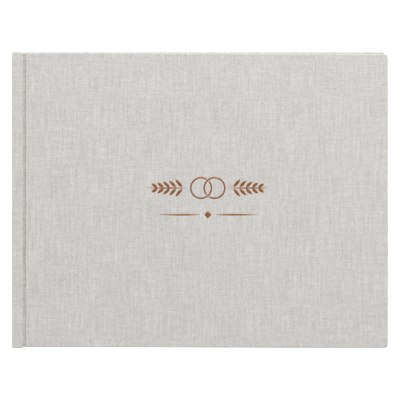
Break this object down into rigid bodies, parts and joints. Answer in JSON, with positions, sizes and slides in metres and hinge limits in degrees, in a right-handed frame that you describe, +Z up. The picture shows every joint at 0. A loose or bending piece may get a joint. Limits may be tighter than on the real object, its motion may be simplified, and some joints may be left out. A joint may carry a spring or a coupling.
{
  "type": "wedding guest book",
  "caption": "Landscape hardback guest book in natural linen, with a hinge strip along the spine, a foil ornament on the front cover and blank sewn pages.",
  "frame": {"origin": "under the middle of the closed book, on the surface that its back cover lies on", "axes": "+X from the spine to the fore edge, +Y from the tail to the head, +Z up through the front cover"},
  "size_m": [0.2418, 0.1904, 0.0215],
  "materials": {
    "linen": "plain-weave natural linen book cloth, matt, with slubs and flecks",
    "grey_board": "uncoated binder's board",
    "endpaper": "uncoated warm-white endpaper",
    "page_paper": "uncoated cream page paper",
    "kraft_paper": "brown kraft spine lining",
    "mull": "open-weave starched gauze",
    "sewing_thread": "waxed linen thread",
    "band_silk": "woven head and tail band",
    "copper_foil": "hot-stamped copper-coloured foil, satin"
  },
  "bodies": {
    "case_and_spine": {"back_board": "grey_board", "back_hinge_board": "grey_board", "front_hinge_board": "grey_board", "spine_board": "grey_board", "case_cloth_back": "linen", "case_cloth_spine": "linen", "back_endpaper_pasted": "endpaper", "front_endpaper_gutter": "endpaper", "spine_lining": "kraft_paper", "spine_mull": "mull", "head_band": "band_silk", "tail_band": "band_silk", "sewing_thread_1": "sewing_thread", "sewing_thread_2": "sewing_thread", "sewing_thread_3": "sewing_thread", "sewing_thread_4": "sewing_thread", "sewing_thread_5": "sewing_thread", "signature_1_fold": "page_paper", "signature_2_fold": "page_paper", "signature_3_fold": "page_paper", "signature_4_fold": "page_paper", "signature_5_fold": "page_paper", "signature_6_fold": "page_paper", "signature_7_fold": "page_paper", "signature_8_fold": "page_paper"},
    "front_cover": {"front_board": "grey_board", "case_cloth_front": "linen", "front_endpaper_pasted": "endpaper", "foil_rings": "copper_foil", "foil_sprig_left": "copper_foil", "foil_sprig_right": "copper_foil", "foil_diamond": "copper_foil", "foil_rule_left": "copper_foil", "foil_rule_right": "copper_foil"},
    "front_flyleaf": {"front_endpaper_leaf": "endpaper"},
    "signature_1": {"signature_1_leaves": "page_paper"},
    "signature_2": {"signature_2_leaves": "page_paper"},
    "signature_3": {"signature_3_leaves": "page_paper"},
    "signature_4": {"signature_4_leaves": "page_paper"},
    "signature_5": {"signature_5_leaves": "page_paper"},
    "signature_6": {"signature_6_leaves": "page_paper"},
    "signature_7": {"signature_7_leaves": "page_paper"},
    "signature_8": {"signature_8_leaves": "page_paper"},
    "back_flyleaf": {"back_endpaper_leaf": "endpaper"}
  },
  "joints": [
    {"name": "front_cover_hinge", "type": "hinge", "parent": "case_and_spine", "child": "front_cover", "pos_m": [-0.11285, 0, 0.0217], "axis": [0, -1, 0], "range_deg": [0, 178]},
    {"name": "front_flyleaf_turn", "type": "hinge", "parent": "case_and_spine", "child": "front_flyleaf", "pos_m": [-0.11285, 0, 0.0217], "axis": [0, -1, 0], "range_deg": [0, 178]},
    {"name": "signature_1_turn", "type": "hinge", "parent": "case_and_spine", "child": "signature_1", "pos_m": [-0.11285, 0, 0.0217], "axis": [0, -1, 0], "range_deg": [0, 178]},
    {"name": "signature_2_turn", "type": "hinge", "parent": "case_and_spine", "child": "signature_2", "pos_m": [-0.11285, 0, 0.0217], "axis": [0, -1, 0], "range_deg": [0, 178]},
    {"name": "signature_3_turn", "type": "hinge", "parent": "case_and_spine", "child": "signature_3", "pos_m": [-0.11285, 0, 0.0217], "axis": [0, -1, 0], "range_deg": [0, 178]},
    {"name": "signature_4_turn", "type": "hinge", "parent": "case_and_spine", "child": "signature_4", "pos_m": [-0.11285, 0, 0.0217], "axis": [0, -1, 0], "range_deg": [0, 178]},
    {"name": "signature_5_turn", "type": "hinge", "parent": "case_and_spine", "child": "signature_5", "pos_m": [-0.11285, 0, 0.0217], "axis": [0, -1, 0], "range_deg": [0, 178]},
    {"name": "signature_6_turn", "type": "hinge", "parent": "case_and_spine", "child": "signature_6", "pos_m": [-0.11285, 0, 0.0217], "axis": [0, -1, 0], "range_deg": [0, 178]},
    {"name": "signature_7_turn", "type": "hinge", "parent": "case_and_spine", "child": "signature_7", "pos_m": [-0.11285, 0, 0.0217], "axis": [0, -1, 0], "range_deg": [0, 178]},
    {"name": "signature_8_turn", "type": "hinge", "parent": "case_and_spine", "child": "signature_8", "pos_m": [-0.11285, 0, 0.0217], "axis": [0, -1, 0], "range_deg": [0, 178]},
    {"name": "back_flyleaf_turn", "type": "hinge", "parent": "case_and_spine", "child": "back_flyleaf", "pos_m": [-0.11285, 0, 0.0217], "axis": [0, -1, 0], "range_deg": [0, 178]}
  ],
  "couplings": [
    {"joint": "front_flyleaf_turn", "follows": "front_cover_hinge", "ratio": 0.991},
    {"joint": "signature_1_turn", "follows": "front_cover_hinge", "ratio": 0.981},
    {"joint": "signature_2_turn", "follows": "front_cover_hinge", "ratio": 0.972},
    {"joint": "signature_3_turn", "follows": "front_cover_hinge", "ratio": 0.962},
    {"joint": "signature_4_turn", "follows": "front_cover_hinge", "ratio": 0.952},
    {"joint": "signature_5_turn", "follows": "front_cover_hinge", "ratio": 0.036},
    {"joint": "signature_6_turn", "follows": "front_cover_hinge", "ratio": 0.024},
    {"joint": "signature_7_turn", "follows": "front_cover_hinge", "ratio": 0.014},
    {"joint": "signature_8_turn", "follows": "front_cover_hinge", "ratio": 0.006},
    {"joint": "back_flyleaf_turn", "follows": "front_cover_hinge", "ratio": 0.002}
  ]
}
